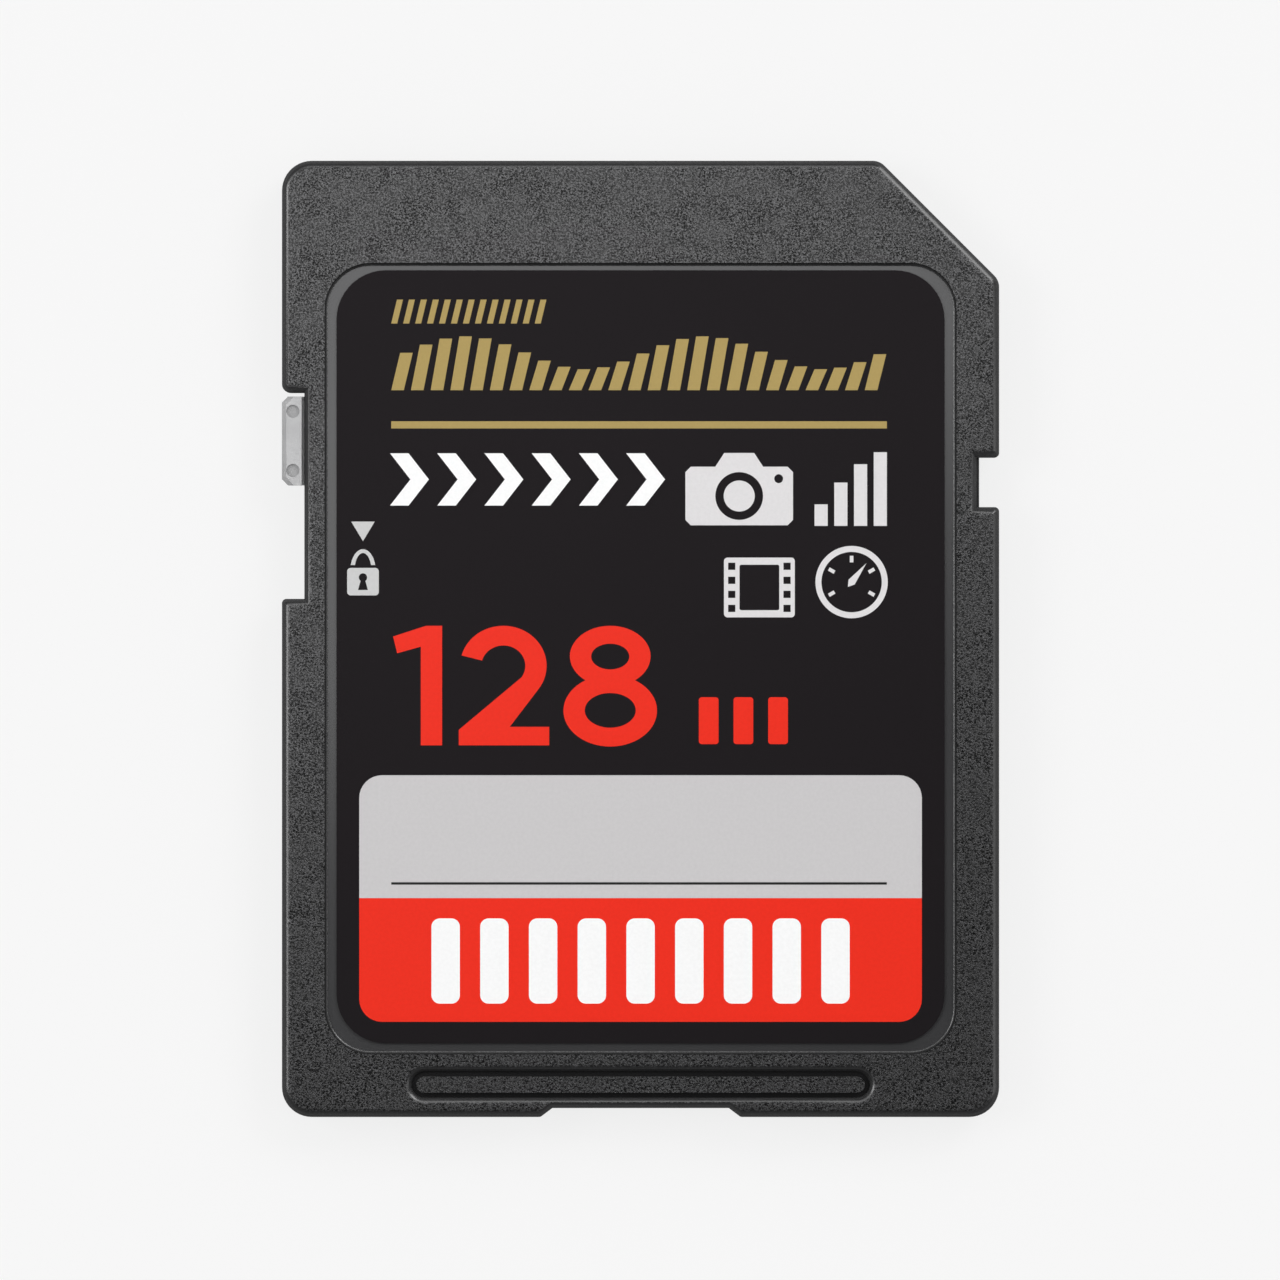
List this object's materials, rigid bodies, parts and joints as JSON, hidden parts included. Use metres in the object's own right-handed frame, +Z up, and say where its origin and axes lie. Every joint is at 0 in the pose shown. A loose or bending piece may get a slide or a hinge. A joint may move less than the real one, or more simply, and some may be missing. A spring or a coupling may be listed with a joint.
{
  "type": "sd memory card",
  "caption": "Full-size flash memory card: two welded plastic half shells with a cut corner, a printed label, gold contacts on the back and a sliding write lock.",
  "frame": {"origin": "on the floor under the middle of the card, which lies flat with its label up", "axes": "+Z up out of the label, +Y along the card towards the contact end, +X to the right seen from above"},
  "size_m": [0.024, 0.032, 0.0021],
  "materials": {
    "shell_plastic": "fine spark-eroded grain",
    "lock_plastic": "satin",
    "label_film": "printed satin film",
    "contact_gold": "gold plated",
    "board_laminate": "solder resist",
    "chip_resin": "moulded resin",
    "capacitor_ceramic": "fired",
    "resistor_ceramic": "glazed"
  },
  "bodies": {
    "card": {"front_shell": "shell_plastic", "rear_shell": "shell_plastic", "label": "label_film", "circuit_board": "board_laminate", "contact_pad_1": "contact_gold", "contact_pad_2": "contact_gold", "contact_pad_3": "contact_gold", "contact_pad_4": "contact_gold", "contact_pad_5": "contact_gold", "contact_pad_6": "contact_gold", "contact_pad_7": "contact_gold", "contact_pad_8": "contact_gold", "contact_pad_9": "contact_gold", "memory_chip": "chip_resin", "controller_chip": "chip_resin", "capacitor_1": "capacitor_ceramic", "capacitor_2": "capacitor_ceramic", "capacitor_3": "capacitor_ceramic", "capacitor_4": "capacitor_ceramic", "capacitor_5": "capacitor_ceramic", "capacitor_6": "capacitor_ceramic", "resistor_1": "resistor_ceramic", "resistor_2": "resistor_ceramic", "resistor_3": "resistor_ceramic", "resistor_4": "resistor_ceramic"},
    "lock": {"lock_slider": "lock_plastic"}
  },
  "joints": [
    {"name": "lock_slide", "type": "slide", "parent": "card", "child": "lock", "axis": [0, -1, 0], "range_m": [0, 0.00367]}
  ]
}
